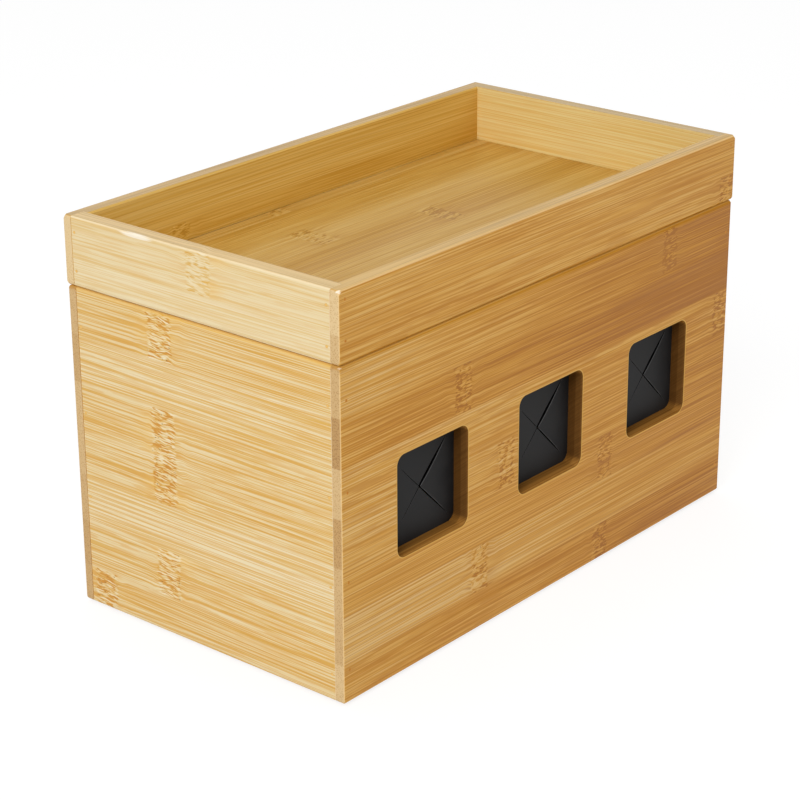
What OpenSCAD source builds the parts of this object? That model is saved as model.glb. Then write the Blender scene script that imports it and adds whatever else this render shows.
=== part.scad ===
// Cable management box: a bamboo box that hides a power strip, with a lift-off
// lid that is also a tray. Cables pass through cross-slit rubber seals.
// The origin is at the middle of the underside, +Z up, and the front faces -Y.

/* [Box] */
// Outside length of the box, along X
box_length = 300; // [270:1:420]
// Outside width of the box, along Y
box_width = 165; // [120:1:260]
// Height of the box's walls
box_height = 160; // [130:1:240]
// Thickness of the walls of the box and of the lid
wall = 8; // [7:0.5:12]
// End grain of the long walls that shows at each corner of the short sides
corner_lip = 5; // [3:0.5:6]
// Thickness of the bottom panel
bottom_thickness = 6; // [4:0.5:8]
// Step round the floor panels, whose lower part reaches under the walls
panel_step = 2; // [1:0.5:2.5]

/* [Lid] */
// Height of the lid's rails
lid_height = 34; // [28:1:60]
// How far the lid stands out past the box on each side
lid_overhang = 0.4; // [0:0.1:2]
// Thickness of the tray's floor
tray_floor_thickness = 5; // [3:0.5:8]
// Width of the battens that locate the lid
batten_width = 12; // [9:0.5:20]
// Height of the battens under the tray's floor
batten_height = 8; // [5:0.5:14]
// Play between the battens and the inside of the box
batten_play = 1; // [0.5:0.1:2]

/* [Cable outlets] */
// Width and height of each square outlet
outlet_size = 49; // [46:1:60]
// Radius of the outlet's corners
outlet_corner = 4.5; // [2:0.5:8]
// Wood left between two outlets
outlet_gap = 39; // [26:1:42]
// Height of the outlets' middle above the box's underside
outlet_height = 82; // [60:1:90]

/* [Rubber seals] */
// Thickness of the rubber sheet
seal_thickness = 1.5; // [1:0.1:2.2]
// How far the sheet reaches past the outlet on each side
seal_margin = 10; // [8:0.5:12]
// Half the width of the square that the cross slit opens
slit_reach = 20; // [15:0.5:21]
// Width of the cut between two flaps
slit_gap = 0.3; // [0.2:0.05:0.6]
// Radius of the relief at each end of the slit
slit_relief = 1.8; // [1.7:0.1:2.5]
// Running gap between a flap's rounded base and the sheet
hinge_gap = 0.25; // [0.15:0.05:0.4]

/* [Fasteners] */
// Diameter of the brads
brad_diameter = 1.4; // [1:0.1:1.6]
// Length of the brads
brad_length = 20; // [15:1:30]
// Distance from a long wall's inner face to the brads that enter its edge
brad_edge = 1; // [0.9:0.1:1.5]
// Height between the brads of the long and of the short walls at a corner
brad_stagger = 3; // [2:0.5:5]
// Number of brads at each end of the box's walls
box_brad_count = 4; // [2:1:6]
// Brads nearest the edge of the box's long walls
box_brad_margin = 16; // [10:1:24]
// Number of brads at each end of the lid's rails
lid_brad_count = 2; // [2:1:3]
// Lowest brad of the lid's long rails above the lid's underside
lid_brad_low = 11; // [9:0.5:13]
// Highest brad of the lid's long rails below the rim
lid_brad_high = 4.5; // [3:0.5:7]
// Diameter of the screws' shanks
screw_diameter = 2.2; // [1.6:0.1:2.6]
// Diameter of the screws' heads
screw_head = 5; // [4:0.1:5.6]
// Height of the screws' heads
screw_head_height = 1.4; // [1:0.1:2]
// Depth to which the seals' screws enter the wall
screw_bite = 5; // [3:0.5:6]
// Depth to which the battens' screws enter the tray's floor
batten_screw_bite = 3; // [1.5:0.5:3]

/* [Feet] */
// Diameter of the anti-slip feet
foot_diameter = 12; // [8:0.5:16]
// Height of the feet
foot_height = 1.5; // [1:0.1:4]
// Distance from the box's sides to a foot's middle
foot_inset = 20; // [18:1:35]

/* [Edges] */
// Radius of the upright outer edges
upright_edge = 0.8; // [0.3:0.1:3]
// Radius of the tray's rim
rim_edge = 1.3; // [0.3:0.1:3]
// Radius of the lid's lower edge
lid_low_edge = 2.3; // [0.3:0.1:3.5]
// Radius of the box's upper edge
box_top_edge = 1.4; // [0.3:0.1:3]
// Radius of the box's lower edge
box_low_edge = 1.2; // [0.3:0.1:3]
// Distance from each corner of the lid at which its sanded round starts
lid_corner = 4; // [3:0.1:5]
// Distance from each corner of the box at which its sanded round starts
box_corner = 3; // [3:0.1:5]
// Radius of the outlets' front edge
outlet_edge = 0.8; // [0.3:0.1:1.5]
// Bevel beside the end grain at each corner
joint_bevel = 0.3; // [0.1:0.1:0.6]

/* [Hidden] */
$fn = 48;
over = 1;                       // how far a cut runs past a face
snug = 0.05;                    // gap round a brad or a screw
panel_play = 0.25;              // gap round the floor panels
panel_seat = wall - corner_lip + 1;  // how far a floor panel reaches into the walls

bamboo_long = "#C69650";
bamboo_short = "#E2C288";
rubber_black = "#2B2B2D";
steel_grey = "#9A9C9E";
putty_brown = "#A5703A";

// Box
box_z = foot_height;
box_top = box_z + box_height;
hollow_length = box_length - 2 * wall;
hollow_width = box_width - 2 * wall;

// Lid
lid_z = box_top;
lid_length = box_length + 2 * lid_overhang;
lid_width = box_width + 2 * lid_overhang;
tray_length = lid_length - 2 * wall;
tray_width = lid_width - 2 * wall;

// Outlets: name, middle on the wall's inner face, turn about Z
outlet_pitch = outlet_size + outlet_gap;
outlet_z = box_z + outlet_height;
OUTLETS = [
    ["left", [-outlet_pitch, -hollow_width / 2, outlet_z], 0],
    ["middle", [0, -hollow_width / 2, outlet_z], 0],
    ["right", [outlet_pitch, -hollow_width / 2, outlet_z], 0],
    ["rear", [0, hollow_width / 2, outlet_z], 180],
];
SIDES = [["lower", 0], ["right", 90], ["upper", 180], ["left", 270]];

// Seals
seal_size = outlet_size + 2 * seal_margin;
seal_corner = 3;
seal_screw_offset = outlet_size / 2 + seal_margin / 2;
flap_window = 2 * (slit_reach + seal_thickness / 2 + hinge_gap);
slit_setback = slit_gap / sqrt(2);  // along X, for half the cut across the slope

// Feet
foot_x = box_length / 2 - foot_inset;
foot_y = box_width / 2 - foot_inset;
foot_bevel = 0.4;

// Battens
batten_length = hollow_width - 2 * batten_play;
batten_x = hollow_length / 2 - batten_play - batten_width / 2;
batten_screw_y = batten_length / 2 - 15;
BATTEN_SCREWS = [-batten_screw_y, 0, batten_screw_y];

// ---- 2D shapes ----

// What a round edge takes off a square corner at the origin
module edge_bit(r) {
    difference() {
        translate([-over, -over]) square(r + over);
        translate([r, r]) circle(r);
        translate([0, r]) square([over, over]);
    }
}

// Rectangle that is centred on X and stands on the X axis, with round edges
module eased_rect(width, height, r_low, r_high) {
    difference() {
        translate([-width / 2, 0]) square([width, height]);
        for (side = [0, 1]) mirror([side, 0]) translate([-width / 2, 0]) {
            edge_bit(r_low);
            translate([0, height]) mirror([0, 1]) edge_bit(r_high);
        }
    }
}

// Slot that is open at the top, with its two upper edges rounded outwards
module flared_slot(width, low, high, r) {
    translate([-width / 2, low]) square([width, high - low + over]);
    for (side = [0, 1]) mirror([side, 0]) translate([width / 2, high])
        mirror([0, 1]) edge_bit(r);
}

// ---- Frames and outer forms ----

// Extrudes a shape of X and Z along Y, centred
module along_y(length) {
    translate([0, length / 2, 0]) rotate([90, 0, 0]) linear_extrude(length) children();
}

// Extrudes a shape of Y and Z along X, centred
module along_x(length) {
    translate([-length / 2, 0, 0]) rotate([90, 0, 90]) linear_extrude(length) children();
}

module mirrored_y() {
    mirror([0, 1, 0]) children();
}

module mirrored_x() {
    mirror([1, 0, 0]) children();
}

// What a sanded round takes off the corner at the origin of a block in the first octant
module corner_bit(reach) {
    difference() {
        translate([-over, -over, -over]) cube(reach + over);
        translate([reach, reach, reach]) sphere(sqrt(2) * reach);
    }
}

module corner_bits(length, width, height, reach) {
    for (right = [0, 1], back = [0, 1], top = [0, 1])
        mirror([right, 0, 0]) mirror([0, back, 0]) translate([-length / 2, -width / 2, top * height])
            mirror([0, 0, top]) corner_bit(reach);
}

// Block with round edges: a board's outer form before it is divided
module eased_block(length, width, z, height, r_low, r_high, corner) {
    translate([0, 0, z]) difference() {
        intersection() {
            linear_extrude(height) translate([0, -width / 2])
                eased_rect(length, width, upright_edge, upright_edge);
            along_y(width + over) eased_rect(length, height, r_low, r_high);
            along_x(length + over) eased_rect(width, height, r_low, r_high);
        }
        corner_bits(length, width, height, corner);
    }
}

// Hollow between four walls, with the walls' upper inner edges rounded
module flared_hollow(length, width, low, high, r) {
    intersection() {
        along_y(width + 2 * r) flared_slot(length, low, high, r);
        along_x(length + 2 * r) flared_slot(width, low, high, r);
    }
}

module linear_at(z, height) {
    translate([0, 0, z]) linear_extrude(height) children();
}

// Seat in the walls' lower edge for the lower part of a floor panel
module floor_seat(length, width, z, thickness) {
    linear_at(z - over, thickness - panel_step + over)
        square([length + 2 * panel_seat, width + 2 * panel_seat], center = true);
}

// Floor panel between four walls: its step leaves only the upper part in view
module stepped_floor(length, width, z, thickness) {
    reach = panel_seat - panel_play;
    linear_at(z, thickness)
        square([length - 2 * panel_play, width - 2 * panel_play], center = true);
    linear_at(z, thickness - panel_step)
        square([length + 2 * reach, width + 2 * reach], center = true);
}

// Front board of a frame of four, before the short boards are let in
module long_block(length, width, z, height) {
    translate([-length / 2, -width / 2, z]) cube([length, wall, height]);
}

// Left board of a frame of four, with bevels beside the end grain
module short_block(length, width, z, height, bevel) {
    reach = width / 2 - corner_lip;
    linear_at(z, height) translate([-length / 2, 0]) polygon([
        [0, -reach + bevel],
        [bevel, -reach],
        [wall, -reach],
        [wall, reach],
        [bevel, reach],
        [0, reach - bevel],
    ]);
}

// ---- Fasteners ----

// Heights of evenly spaced brads
function brad_heights(low, high, count) =
    [for (i = [0 : count - 1]) low + (high - low) * i / (count - 1)];

BOX_LONG_BRADS = brad_heights(box_z + box_brad_margin, box_top - box_brad_margin, box_brad_count);
BOX_SHORT_BRADS = [for (z = BOX_LONG_BRADS) z - brad_stagger];
LID_LONG_BRADS =
    brad_heights(lid_z + lid_brad_low, lid_z + lid_height - lid_brad_high, lid_brad_count);
LID_SHORT_BRADS = [for (z = LID_LONG_BRADS) z - brad_stagger];

// Brads of a frame of four, or their holes when grow is over 0
module frame_brads(length, width, long_heights, short_heights, grow) {
    r = brad_diameter / 2 + grow;
    for (flip_x = [0, 1], flip_y = [0, 1]) mirror([flip_x, 0, 0]) mirror([0, flip_y, 0]) {
        for (z = long_heights)
            translate([-length / 2 + wall / 2, -width / 2 - grow, z])
                rotate([-90, 0, 0]) cylinder(r = r, h = brad_length + 2 * grow);
        for (z = short_heights)
            translate([-length / 2 - grow, -width / 2 + wall - brad_edge, z])
                rotate([0, 90, 0]) cylinder(r = r, h = brad_length + 2 * grow);
    }
}

module box_brad_set(grow) {
    frame_brads(box_length, box_width, BOX_LONG_BRADS, BOX_SHORT_BRADS, grow);
}

module tray_brad_set(grow) {
    frame_brads(lid_length, lid_width, LID_LONG_BRADS, LID_SHORT_BRADS, grow);
}

// Pan-head screw that points up Z, with its head's seat at the origin
module screw(length) {
    head_round = screw_head_height * 0.5;
    slot = [screw_head * 0.55, screw_head * 0.12, screw_head_height * 0.6];
    difference() {
        union() {
            rotate_extrude() difference() {
                translate([0, -screw_head_height]) square([screw_head / 2, screw_head_height]);
                translate([screw_head / 2, -screw_head_height]) mirror([1, 0])
                    edge_bit(head_round);
            }
            cylinder(d = screw_diameter, h = length);
        }
        for (turn = [0, 90]) rotate([0, 0, turn])
            translate([-slot[0] / 2, -slot[1] / 2, -screw_head_height - over])
                cube([slot[0], slot[1], slot[2] + over]);
    }
}

// Hole for a screw's shank
module screw_hole(length) {
    translate([0, 0, -over]) cylinder(d = screw_diameter + 2 * snug, h = length + over + snug);
}

module seal_screw_places() {
    for (x = [-1, 1], y = [-1, 1])
        translate([x * seal_screw_offset, y * seal_screw_offset, -seal_thickness]) children();
}

module batten_screw_places(side) {
    for (y = BATTEN_SCREWS)
        translate([side * batten_x, y, lid_z - batten_height + screw_head_height]) children();
}

batten_screw_length = batten_height - screw_head_height + batten_screw_bite;

// ---- Cable outlets ----

// An outlet's own frame: X to the right and Y up as seen from outside, Z outwards,
// with the origin on the wall's inner face
module at_outlet(outlet) {
    translate(outlet[1]) rotate([90, 0, outlet[2]]) children();
}

module rounded_square(size, r) {
    difference() {
        square(size, center = true);
        for (turn = [0 : 90 : 270]) rotate(turn)
            translate([-size / 2, -size / 2]) edge_bit(r);
    }
}

// Hole through the wall, with a round front edge
module outlet_cut() {
    half = outlet_size / 2;
    straight = outlet_size - 2 * outlet_corner;
    translate([0, 0, -over]) linear_extrude(wall + 2 * over)
        rounded_square(outlet_size, outlet_corner);
    for (turn = [0 : 90 : 270]) rotate([0, 0, turn]) {
        translate([half, straight / 2, wall]) rotate([90, 0, 0]) linear_extrude(straight)
            mirror([0, 1]) edge_bit(outlet_edge);
        translate([half - outlet_corner, half - outlet_corner, wall])
            rotate_extrude(angle = 90) translate([outlet_corner, 0])
                mirror([0, 1]) edge_bit(outlet_edge);
    }
}

module seal_sheet() {
    difference() {
        translate([0, 0, -seal_thickness]) linear_extrude(seal_thickness) difference() {
            rounded_square(seal_size, seal_corner);
            square(flap_window, center = true);
        }
        seal_screw_places() screw_hole(seal_thickness + over);
    }
}

// The lower flap: its base turns about the middle of the sheet's thickness
module seal_flap() {
    r = seal_thickness / 2;
    reach = slit_reach + r - slit_setback;
    difference() {
        intersection() {
            translate([0, 0, -seal_thickness]) linear_extrude(seal_thickness)
                polygon([[-reach, -slit_reach - r], [reach, -slit_reach - r], [0, -slit_setback]]);
            along_x(2 * slit_reach) {
                translate([-slit_reach, -r]) circle(r);
                translate([-slit_reach, -seal_thickness]) square([slit_reach, seal_thickness]);
            }
        }
        for (x = [-slit_reach, slit_reach])
            translate([x, -slit_reach, -seal_thickness - over])
                cylinder(r = slit_relief, h = seal_thickness + 2 * over);
    }
}

module seal_part(outlet) {
    color(rubber_black) at_outlet(outlet) seal_sheet();
}

module seal_screws_part(outlet) {
    color(steel_grey) at_outlet(outlet) seal_screw_places()
        screw(seal_thickness + screw_bite);
}

module flap_part(outlet, side) {
    color(rubber_black) at_outlet(outlet) rotate([0, 0, side[1]]) seal_flap();
}

// ---- Box ----

module box_form() {
    eased_block(box_length, box_width, box_z, box_height, box_low_edge, box_top_edge,
        box_corner);
}

module box_cuts() {
    flared_hollow(hollow_length, hollow_width, box_z - over, box_top, box_top_edge);
    floor_seat(hollow_length, hollow_width, box_z, bottom_thickness);
    box_brad_set(snug);
}

// Front wall without its outlets; the back wall mirrors it
module box_long_wall() {
    difference() {
        intersection() {
            box_form();
            long_block(box_length, box_width, box_z, box_height);
        }
        short_block(box_length, box_width, box_z - over, box_height + 2 * over, 0);
        mirrored_x() short_block(box_length, box_width, box_z - over, box_height + 2 * over, 0);
        box_cuts();
    }
}

module box_short_wall() {
    difference() {
        intersection() {
            box_form();
            short_block(box_length, box_width, box_z, box_height, joint_bevel);
        }
        box_cuts();
    }
}

module outlet_and_holes(outlet) {
    at_outlet(outlet) {
        outlet_cut();
        seal_screw_places() screw_hole(seal_thickness + screw_bite);
    }
}

module front_panel() {
    color(bamboo_long) difference() {
        box_long_wall();
        for (outlet = OUTLETS) if (outlet[2] == 0) outlet_and_holes(outlet);
    }
}

module back_panel() {
    color(bamboo_long) difference() {
        mirrored_y() box_long_wall();
        for (outlet = OUTLETS) if (outlet[2] != 0) outlet_and_holes(outlet);
    }
}

module left_panel() {
    color(bamboo_short) box_short_wall();
}

module right_panel() {
    color(bamboo_short) mirrored_x() box_short_wall();
}

module bottom_panel() {
    color(bamboo_long) stepped_floor(hollow_length, hollow_width, box_z, bottom_thickness);
}

module box_brads() {
    color(putty_brown) box_brad_set(0);
}

module foot(x, y) {
    color(rubber_black) translate([x, y, 0]) rotate_extrude() difference() {
        square([foot_diameter / 2, foot_height]);
        translate([foot_diameter / 2, 0]) mirror([1, 0]) edge_bit(foot_bevel);
    }
}

// ---- Lid ----

module lid_form() {
    eased_block(lid_length, lid_width, lid_z, lid_height, lid_low_edge, rim_edge, lid_corner);
}

module tray_cuts() {
    flared_hollow(tray_length, tray_width, lid_z - over, lid_z + lid_height, rim_edge);
    floor_seat(tray_length, tray_width, lid_z, tray_floor_thickness);
    tray_brad_set(snug);
}

module tray_long_rail() {
    difference() {
        intersection() {
            lid_form();
            long_block(lid_length, lid_width, lid_z, lid_height);
        }
        short_block(lid_length, lid_width, lid_z - over, lid_height + 2 * over, 0);
        mirrored_x() short_block(lid_length, lid_width, lid_z - over, lid_height + 2 * over, 0);
        tray_cuts();
    }
}

module tray_short_rail() {
    difference() {
        intersection() {
            lid_form();
            short_block(lid_length, lid_width, lid_z, lid_height, joint_bevel);
        }
        tray_cuts();
    }
}

module tray_front_rail() {
    color(bamboo_long) tray_long_rail();
}

module tray_back_rail() {
    color(bamboo_long) mirrored_y() tray_long_rail();
}

module tray_left_rail() {
    color(bamboo_short) tray_short_rail();
}

module tray_right_rail() {
    color(bamboo_short) mirrored_x() tray_short_rail();
}

module tray_floor() {
    color(bamboo_long) difference() {
        stepped_floor(tray_length, tray_width, lid_z, tray_floor_thickness);
        for (side = [-1, 1]) batten_screw_places(side) screw_hole(batten_screw_length);
    }
}

module tray_brads() {
    color(putty_brown) tray_brad_set(0);
}

module batten(side) {
    color(bamboo_long) difference() {
        translate([side * batten_x, 0, lid_z - batten_height]) linear_extrude(batten_height)
            square([batten_width, batten_length], center = true);
        batten_screw_places(side) {
            screw_hole(batten_screw_length);
            translate([0, 0, -batten_height])
                cylinder(d = screw_head + 2 * snug, h = batten_height);
        }
    }
}

module batten_screws() {
    color(steel_grey) for (side = [-1, 1]) batten_screw_places(side) screw(batten_screw_length);
}

front_panel();
back_panel();
left_panel();
right_panel();
bottom_panel();
box_brads();
foot(-foot_x, -foot_y);  // foot_front_left
foot(foot_x, -foot_y);  // foot_front_right
foot(-foot_x, foot_y);  // foot_back_left
foot(foot_x, foot_y);  // foot_back_right
for (outlet = OUTLETS) {
    seal_part(outlet);
    seal_screws_part(outlet);
    for (side = SIDES)
        flap_part(outlet, side);
}
tray_front_rail();
tray_back_rail();
tray_left_rail();
tray_right_rail();
tray_floor();
tray_brads();
batten(-1);  // batten_left
batten(1);  // batten_right
batten_screws();
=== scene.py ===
"""Looks of the cable management box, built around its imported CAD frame.

Everything is in metres in the frame of the CAD model: +X to the right along the front,
+Y from the front to the back, +Z up, with the origin on the surface under the feet.
"""
import math
from collections import namedtuple

import bmesh
import bpy
from mathutils import Matrix, Vector


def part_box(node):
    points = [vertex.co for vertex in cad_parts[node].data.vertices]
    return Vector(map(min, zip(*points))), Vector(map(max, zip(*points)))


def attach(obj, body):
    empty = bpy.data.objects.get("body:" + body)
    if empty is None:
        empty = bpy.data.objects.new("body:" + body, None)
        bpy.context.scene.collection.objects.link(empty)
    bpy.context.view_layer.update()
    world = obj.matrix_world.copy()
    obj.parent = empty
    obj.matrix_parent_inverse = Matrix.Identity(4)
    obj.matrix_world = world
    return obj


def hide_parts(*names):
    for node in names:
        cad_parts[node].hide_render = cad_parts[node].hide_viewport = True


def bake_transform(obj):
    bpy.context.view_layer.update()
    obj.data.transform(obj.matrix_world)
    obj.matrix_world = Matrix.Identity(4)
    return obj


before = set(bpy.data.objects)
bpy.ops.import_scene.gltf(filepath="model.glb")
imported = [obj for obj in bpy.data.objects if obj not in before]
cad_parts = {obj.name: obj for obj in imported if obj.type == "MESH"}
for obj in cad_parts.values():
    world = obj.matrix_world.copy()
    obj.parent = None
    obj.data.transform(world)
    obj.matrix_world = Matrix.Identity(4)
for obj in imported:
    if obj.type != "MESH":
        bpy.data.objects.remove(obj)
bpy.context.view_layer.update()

MM = 0.001

# Camera, at the photograph's viewing angle
CAMERA_PLACE = (-0.8559, -0.7081, 0.5307)
CAMERA_HEADING = 49.98      # degrees from +Y towards +X
CAMERA_DROP = 22.15         # degrees below level
CAMERA_ROLL = -0.28         # degrees
CAMERA_LENS = 109.3
CAMERA_SENSOR = 36.0        # width, as the lens in millimetres
CAMERA_CLIP = 0.01

# Studio
WHITE = (1.0, 1.0, 1.0, 1.0)
FLOOR_COLOUR = (0.90, 0.90, 0.90, 1.0)
FLOOR_HALF = 8.0
FLOOR_GLOW = 0.70           # share of the floor's white that shadows don't touch
FLOOR_LEVEL = 1.13          # strength of that share
AMBIENT = 0.42
AIM = Vector((0.0, 0.0, 0.09))
SOFTBOXES = {               # place, size and level of each lamp
    "key": ((-2.3, -1.0, 1.9), 1.6, 0.55),
    "fill": ((0.9, -2.6, 1.2), 1.4, 0.13),
    "top": ((0.3, 0.6, 2.6), 1.6, 0.20),
}

# Bamboo: every board is glued up from strips, with a knuckle of the cane here and there
STRIP_WIDTH = 23.5 * MM
STRIP_SHIFT = 0.731         # sets the noises of one strip apart from the next one's
SLOT_SHIFT = 7.3            # the same for the slots of thin lines
CUT_SHIFT = 3.7             # and for how a strip is cut
LEAN_LENGTH = 150.0 * MM    # length over which a strip's tone changes by its lean
DEPTH_SHARE = 0.83          # share of the depth that counts as sideways, so that fibres run round edges
BOARD_GLOSS = 0.25
BOARD_ROUGHNESS = (0.36, 0.48)
# painted shade in the groove between box and lid
GROOVE_SHADE_COLOUR = (0.620, 0.350, 0.090)
PORE_COLOUR = (0.180, 0.080, 0.020)
# painted shade where the tray's floor meets its rails
CREASE_SHADE_COLOUR = (0.180, 0.070, 0.010)
RAIL_OFFCUT = 3.5 * MM      # sawn off a rail's upper strip
FLOOR_EDGE = 90.0 * MM      # where the first strip of a lying board begins
BATTEN_EDGE = 200.0 * MM

# Strength of each layer of colour that is laid over a board
SMOKE_STRENGTH = 0.60
LINE_STRENGTH = 0.90
JOINT_STRENGTH = 0.25
PORE_STRENGTH = 0.55
SEAM_SHADE_AND_HIGHLIGHT_STRENGTH = 0.60
SANDED_EDGE_AND_HIGHLIGHT_STRENGTH = 0.55
RIM_STRENGTH = 0.80
GLINT_STRENGTH = 0.70
LIP_STRENGTH = 0.85
DEEP_STRENGTH = 0.45

# Noises of a board. Rates are in features per metre, and start sets one noise apart from the others
Noise = namedtuple("Noise", "along_rate across_rate start detail roughness", defaults=(2.0, 0.5))
DRIFT = Noise(7.0, 40.0, 1.0, 1.0)                  # waves of the fibres
CURL = Noise(110.0, 150.0, 2.0, 1.0)                # curls beside a knuckle
RAGGED = Noise(60.0, 330.0, 4.0, roughness=0.6)     # sides of a knuckle
SMOKE = Noise(26.0, 75.0, 5.0)                      # dark clouds round a knuckle
PATCHES = Noise(50.0, 110.0, 23.0, 1.0)             # tones within a knuckle
BANDS = Noise(1.6, 95.0, 3.0, roughness=0.55)       # tones within a strip
STREAKS = Noise(6.0, 420.0, 7.0, 1.0, 0.55)         # bundles of fibres
HAIRS = Noise(13.0, None, 13.0, 0.0, 0.55)          # single fibres, whose rate across is the stock's
WISPS = Noise(42.0, 700.0, 17.0, 1.0, 0.55)         # short dashes
DRIFT_SWING = 0.9 * MM
CURL_SWING = 2.0 * MM

# Spans, mostly of a noise, over which something goes from nothing to its full strength
DARK_WISPS = (0.54, 0.62)
LIGHT_WISPS = (0.46, 0.38)
LIGHT_STROKES = (0.54, 0.62)
DARK_STROKES = (0.50, 0.40)
CLOUDS = (0.42, 0.62)
JOINT_SPAN = (0.488, 0.499)     # of a strip's width, from its middle

# Parts of a normal at which a face counts as end grain, rounded, turned up, outward or inward
END_SPAN = (0.6, 0.8)
ROUND_SPAN = (0.965, 0.82)
RIM_SPAN = (0.75, 0.97)
OUTWARD = 0.02
INWARD = -0.3

# Distances from the groove between box and lid: its painted shade, the painted highlight on the box's edge
# below it, dull and pale parts
SEAM_SHADE = (0.8 * MM, 0.3 * MM)
SEAM_HIGHLIGHT = (2.2 * MM, 0.8 * MM)
SEAM_DULL = (1.0 * MM, 2.6 * MM)
SEAM_EDGE = (2.0 * MM, 4.0 * MM)

# Painted shade: the dark line along the tray's floor where it meets the rails: its width, and where it gets
# fainter
CREASE_SHADE_SPAN = (0.9 * MM, 0.4 * MM)
CREASE_SHADE_RUN = (-50.0 * MM, 0.0)

# Thin dark lines along the grain, at most one in each slot; share: of the slots that have one
Lines = namedtuple("Lines", "slot_rate along_rate half_width share start")
BOLD_LINES = Lines(210.0, 8.0, 0.36 * MM, 0.75, 41.0)
FINE_LINES = Lines(560.0, 12.0, 0.28 * MM, 1.00, 57.0)

# Knuckles
KNUCKLE_RANGE = 0.4         # their places are kept as shares of this length
NO_KNUCKLE = -0.19          # beyond the boards' ends, for strips without one
KNUCKLE_RAGGED = 1.3 * MM   # how far their sides wander
KNUCKLE_SLANT = -0.08
KNUCKLE_FADE = (1.2 * MM, -0.6 * MM)        # from beyond their sides to within
CURL_FADE = (16.0 * MM, -2.0 * MM)          # the same for the curls beside them
STROKE_SWING = 0.7 * MM
PATCH_TONE = 0.10
PORE_RATE = 620.0           # cells per metre that may hold a pore
PORE_RARITY = 0.78          # share of the cells without one
PORE_SPAN = (0.28, 0.12)    # from a pore's side to its middle, in cells

# End grain
DOT_RATE = 1250.0           # cut fibres per metre
DOT_SPAN = (0.18, 0.48)     # from a fibre's middle outwards, in cells
DOT_TONE = 0.30
DOT_SHIFT = 0.18

# Cable outlets, whose faces the cutter has burnt and whose edges are sanded, with a painted highlight on
# their top and left edges and painted light on their flat faces
OUTLET_HALF = 24.5 * MM
OUTLET_CORNER = 4.5 * MM
LIP_HIGHLIGHT = (0.950, 0.660, 0.260)      # painted highlight on the edges at the top and left
DULL_LIP = (0.680, 0.400, 0.110)        # at the bottom and right
BURNT_UPRIGHT = [(0.3, (0.126, 0.055, 0.013)), (0.7, (0.168, 0.073, 0.018))]
# faces that lie flat are lighter: long grain, and painted light from above
BURNT_LYING = [(0.3, (0.300, 0.125, 0.022)), (0.7, (0.430, 0.200, 0.042))]
BURNT_DEEP = (0.060, 0.022, 0.004)
LIP_SPAN = (1.1 * MM, 0.9 * MM)         # distances outside an outlet
BURNT_SPAN = (1.6 * MM, 1.2 * MM)
BURNT_FROM = (0.01 * MM, 0.10 * MM)     # depths in the wall
DEEP_SPAN = (3.6 * MM, 4.2 * MM)

# A stock is a set of colours for the bamboo; shades are its colours by tone, and edge the paler colour of
# its rounded outer edges, sanded and with a painted highlight.
# Of its hairs, bundled by groups, the noise from low to high gives the tones from dark to light. rates: a
# knuckle's strokes per metre
Stock = namedtuple("Stock", "shades end_shades line smoke edge knuckle hairs")
Hairs = namedtuple("Hairs", "rate groups low high dark light bands")
Knuckle = namedtuple("Knuckle", "half darkest lightest shift rates")
# A board's strips run with its grain and follow each other across it from its edge. figure is the
# strength of its figure, rim the colour of its upper face, painted as light falls on it, inner the stock of
# its inner face, with painted bounced light
Board = namedtuple("Board", "grain across edge strips stock seed figure rim inner", defaults=(None, None))
Strip = namedtuple("Strip", "tone end_tone knuckle lean")   # knuckle: its place; lean: change of tone

AMBER = Stock(
    shades=[(0.0, (0.355, 0.125, 0.005)), (0.3, (0.500, 0.213, 0.017)),
            (0.55, (0.600, 0.298, 0.044)), (0.8, (0.665, 0.385, 0.098)), (1.0, (0.710, 0.470, 0.185))],
    end_shades=[(0.0, (0.270, 0.118, 0.034)), (0.5, (0.520, 0.312, 0.118)), (1.0, (0.740, 0.545, 0.285))],
    line=(0.425, 0.162, 0.010),
    smoke=(0.480, 0.215, 0.028),
    edge=(0.820, 0.600, 0.300),
    knuckle=Knuckle(5.6 * MM, -0.58, 0.15, -0.06, (300.0, 850.0)),
    hairs=Hairs(1500.0, 0.03, 0.30, 0.70, -0.28, 0.28, 0.045),
)
# Same bamboo as AMBER on the short boards, painted paler and less orange as the key lamp at the left lights
# them
PALE = Stock(
    shades=[(0.0, (0.585, 0.250, 0.026)), (0.3, (0.685, 0.403, 0.088)),
            (0.55, (0.733, 0.531, 0.237)), (0.8, (0.782, 0.636, 0.372)), (1.0, (0.830, 0.722, 0.500))],
    end_shades=[(0.0, (0.360, 0.180, 0.055)), (0.5, (0.640, 0.400, 0.155)), (1.0, (0.820, 0.610, 0.300))],
    line=(0.690, 0.385, 0.095),
    smoke=(0.800, 0.490, 0.120),
    edge=(0.900, 0.760, 0.520),
    knuckle=Knuckle(7.0 * MM, -0.66, 0.22, 0.0, (210.0, 1150.0)),
    hairs=Hairs(1700.0, 0.30, 0.37, 0.54, -0.32, 0.16, 0.03),      # thin dark lines on a pale ground
)
GOLDEN = Stock(             # the tray's floor is yellower, and so are the inner boards, where the tint below paints bounced light
    shades=[(0.0, (0.350, 0.158, 0.015)), (0.3, (0.495, 0.264, 0.036)),
            (0.55, (0.585, 0.352, 0.082)), (0.8, (0.645, 0.434, 0.144)), (1.0, (0.695, 0.505, 0.228))],
    end_shades=AMBER.end_shades,
    line=(0.400, 0.180, 0.018),
    smoke=(0.470, 0.240, 0.035),
    edge=(0.820, 0.620, 0.320),
    knuckle=Knuckle(5.6 * MM, -0.65, 0.25, 0.0, (210.0, 900.0)),
    hairs=Hairs(1300.0, 0.0, 0.30, 0.70, -0.27, 0.27, 0.07),
)


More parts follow.
